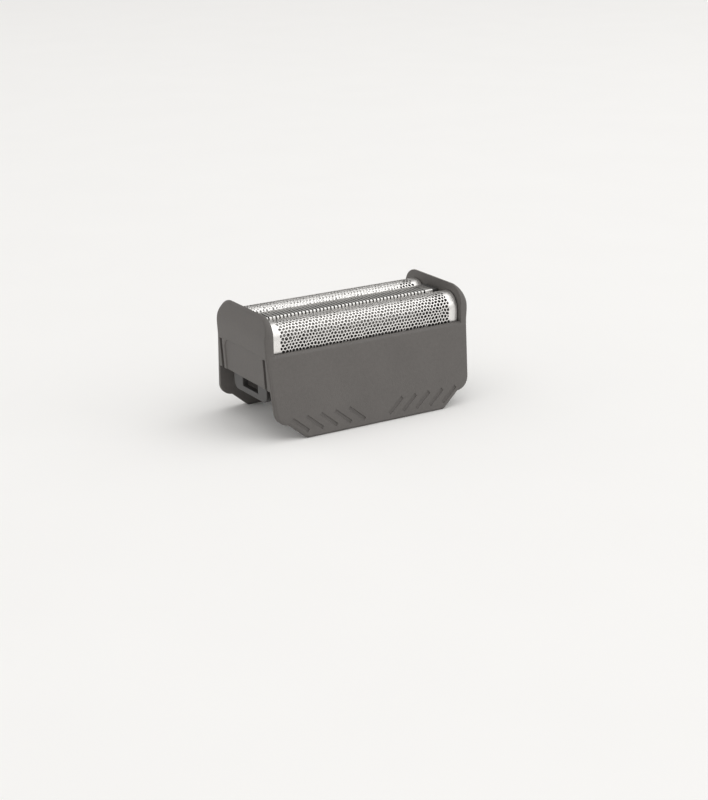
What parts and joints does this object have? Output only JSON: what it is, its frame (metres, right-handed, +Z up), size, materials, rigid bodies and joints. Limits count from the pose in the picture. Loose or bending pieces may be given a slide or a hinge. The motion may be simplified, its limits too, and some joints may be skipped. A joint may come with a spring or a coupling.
{
  "type": "shaver foil head",
  "caption": "Electric shaver foil head: grey moulded frame with leaning aprons, arched perforated foils side by side, a slotted trimmer between them and an open bay below for the cutters.",
  "frame": {"origin": "middle of the foot line between the lower lips of the aprons, on the plane that they stand on", "axes": "+X along the foils, +Y from the front apron to the rear apron, +Z up through the foils"},
  "size_m": [0.0454, 0.025, 0.0234],
  "materials": {
    "frame_grey": "fine matte moulding, warm grey",
    "inner_black": "matte black moulding",
    "foil_silver": "bright electroformed foil",
    "comb_steel": "ground steel",
    "spring_steel": "rolled strip",
    "slide_grey": "matte grey moulding"
  },
  "bodies": {
    "frame": {"outer_frame": "frame_grey", "retainer_frame": "inner_black", "lift_spring_left": "spring_steel", "lift_spring_right": "spring_steel"},
    "front_foil_unit": {"front_foil": "foil_silver", "front_foil_carrier": "inner_black"},
    "rear_foil_unit": {"rear_foil": "foil_silver", "rear_foil_carrier": "inner_black"},
    "trimmer": {"trimmer_base": "inner_black", "trimmer_comb": "comb_steel", "blade_spring_left": "spring_steel", "blade_spring_right": "spring_steel"},
    "trimmer_cutter": {"trimmer_blade": "comb_steel", "trimmer_slide": "slide_grey"}
  },
  "joints": [
    {"name": "front_foil_float", "type": "slide", "parent": "frame", "child": "front_foil_unit", "axis": [0, 0, 1], "range_m": [0, 0.001]},
    {"name": "rear_foil_float", "type": "slide", "parent": "frame", "child": "rear_foil_unit", "axis": [0, 0, 1], "range_m": [0, 0.001]},
    {"name": "trimmer_float", "type": "slide", "parent": "frame", "child": "trimmer", "axis": [0, 0, 1], "range_m": [-0.0009, 0], "stiffness_N_per_m": 100, "springref_m": 0.0015, "deforming": ["lift_spring_left", "lift_spring_right"]},
    {"name": "blade_stroke", "type": "slide", "parent": "trimmer", "child": "trimmer_cutter", "axis": [1, 0, 0], "range_m": [-0.0012, 0.0012]}
  ]
}
